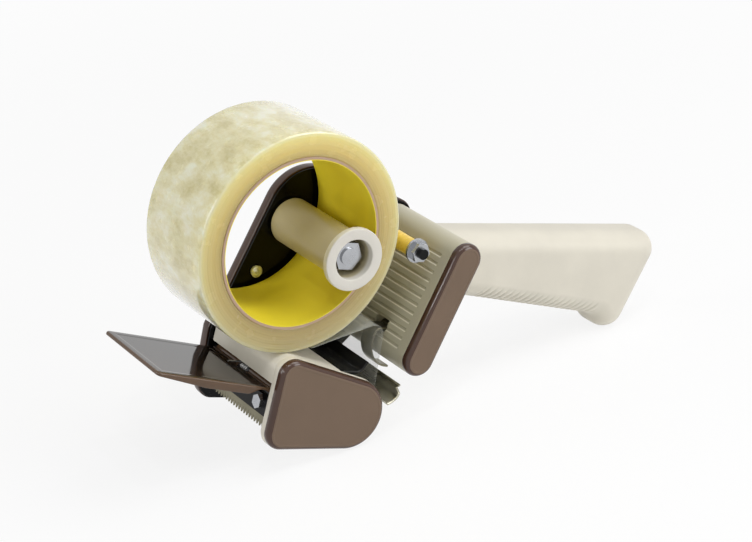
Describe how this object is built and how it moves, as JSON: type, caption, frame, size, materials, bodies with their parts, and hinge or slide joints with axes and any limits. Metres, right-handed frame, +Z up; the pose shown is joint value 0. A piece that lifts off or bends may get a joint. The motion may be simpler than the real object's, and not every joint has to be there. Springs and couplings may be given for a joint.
{
  "type": "handheld tape dispenser",
  "caption": "Pistol-grip carton-tape dispenser with a loaded roll, an applying roller, a toothed blade and a hinged tongue.",
  "frame": {"origin": "centre of the bounding box in plan, on the table that the gun stands on", "axes": "+X toward the handle's end, +Z up, -Y the open side that the roll is loaded from"},
  "size_m": [0.2872, 0.068, 0.1537],
  "materials": {
    "side_plate": "black enamel",
    "side_cover": "moulded, glossy",
    "cover_screws": "yellow zinc plate",
    "frame_screws": "zinc plate",
    "head_shell": "moulded, satin",
    "head_cap": "moulded, glossy",
    "roller_tyre": "smooth rubber",
    "roller_core": "moulded",
    "roller_axle": "turned",
    "blade": "hardened strip",
    "blade_bar": "black enamel",
    "blade_bolts": "zinc plate",
    "blade_nuts": "zinc plate",
    "tongue": "smoke-brown, slightly clear",
    "tongue_pin": "drawn",
    "tongue_spring": "spring wire",
    "guide_plate": "black enamel",
    "rear_guide": "bent sheet",
    "guide_roller": "moulded",
    "guide_axle": "turned",
    "guide_clip": "spring sheet",
    "finger": "bent spring sheet",
    "finger_pin": "drawn",
    "stop_rod": "black enamel",
    "stop_sleeve": "moulded",
    "stop_washer": "zinc plate",
    "stop_nut": "zinc plate",
    "handle": "moulded, satin",
    "block_cap": "moulded, glossy",
    "tape_hub": "moulded",
    "hub_bushing": "moulded",
    "hub_bolt": "zinc plate",
    "hub_washers": "zinc plate",
    "hub_nut": "zinc plate",
    "core_liner": "coloured paper",
    "tape_core": "paper board",
    "wound_tape": "clear film, many layers",
    "tape_strand": "clear film"
  },
  "bodies": {
    "frame": {"side_plate": "side_plate", "side_cover": "side_cover", "cover_screws": "cover_screws", "frame_screws": "frame_screws", "head_shell": "head_shell", "head_cap": "head_cap", "roller_axle": "roller_axle", "blade": "blade", "blade_bar": "blade_bar", "blade_bolts": "blade_bolts", "blade_nuts": "blade_nuts", "tongue_pin": "tongue_pin", "tongue_spring": "tongue_spring", "guide_plate": "guide_plate", "rear_guide": "rear_guide", "guide_axle": "guide_axle", "guide_clip": "guide_clip", "finger_pin": "finger_pin", "stop_rod": "stop_rod", "stop_washer": "stop_washer", "stop_nut": "stop_nut", "handle": "handle", "block_cap": "block_cap", "hub_bolt": "hub_bolt", "hub_washers": "hub_washers", "hub_nut": "hub_nut", "tape_strand": "tape_strand"},
    "roll": {"core_liner": "core_liner", "tape_core": "tape_core", "wound_tape": "wound_tape"},
    "hub": {"tape_hub": "tape_hub", "hub_bushing": "hub_bushing"},
    "apply_roller": {"roller_tyre": "roller_tyre", "roller_core": "roller_core"},
    "guide_roller": {"guide_roller": "guide_roller"},
    "tongue": {"tongue": "tongue"},
    "finger": {"finger": "finger"},
    "stop_sleeve": {"stop_sleeve": "stop_sleeve"}
  },
  "joints": [
    {"name": "roll_spin", "type": "hinge", "parent": "frame", "child": "roll", "pos_m": [-0.06837, -0.0002, 0.10295], "axis": [0, 1, 0], "continuous": true},
    {"name": "hub_spin", "type": "hinge", "parent": "frame", "child": "hub", "pos_m": [-0.04484, -0.0002, 0.09033], "axis": [0, 1, 0], "continuous": true},
    {"name": "roller_spin", "type": "hinge", "parent": "frame", "child": "apply_roller", "pos_m": [-0.05224, -0.0002, 0.0167], "axis": [0, 1, 0], "continuous": true},
    {"name": "guide_spin", "type": "hinge", "parent": "frame", "child": "guide_roller", "pos_m": [-0.03416, -0.0002, 0.04733], "axis": [0, 1, 0], "continuous": true},
    {"name": "sleeve_spin", "type": "hinge", "parent": "frame", "child": "stop_sleeve", "pos_m": [-0.00701, -0.0002, 0.08148], "axis": [0, 1, 0], "continuous": true},
    {"name": "tongue_hinge", "type": "hinge", "parent": "frame", "child": "tongue", "pos_m": [-0.08666, -0.0002, 0.03774], "axis": [0, 1, 0], "range_deg": [-15, 20], "stiffness_Nm_per_rad": 0.15, "springref_deg": 0.69, "deforming": ["tongue_spring"]},
    {"name": "finger_rock", "type": "hinge", "parent": "frame", "child": "finger", "pos_m": [-0.01358, -0.0002, 0.03935], "axis": [0, 1, 0], "range_deg": [-4, 0], "stiffness_Nm_per_rad": 0.1}
  ],
  "couplings": [
    {"joint": "roller_spin", "follows": "roll_spin", "ratio": -3.2152},
    {"joint": "guide_spin", "follows": "roll_spin", "ratio": -10.16},
    {"joint": "hub_spin", "follows": "roll_spin", "ratio": 3.4636}
  ]
}
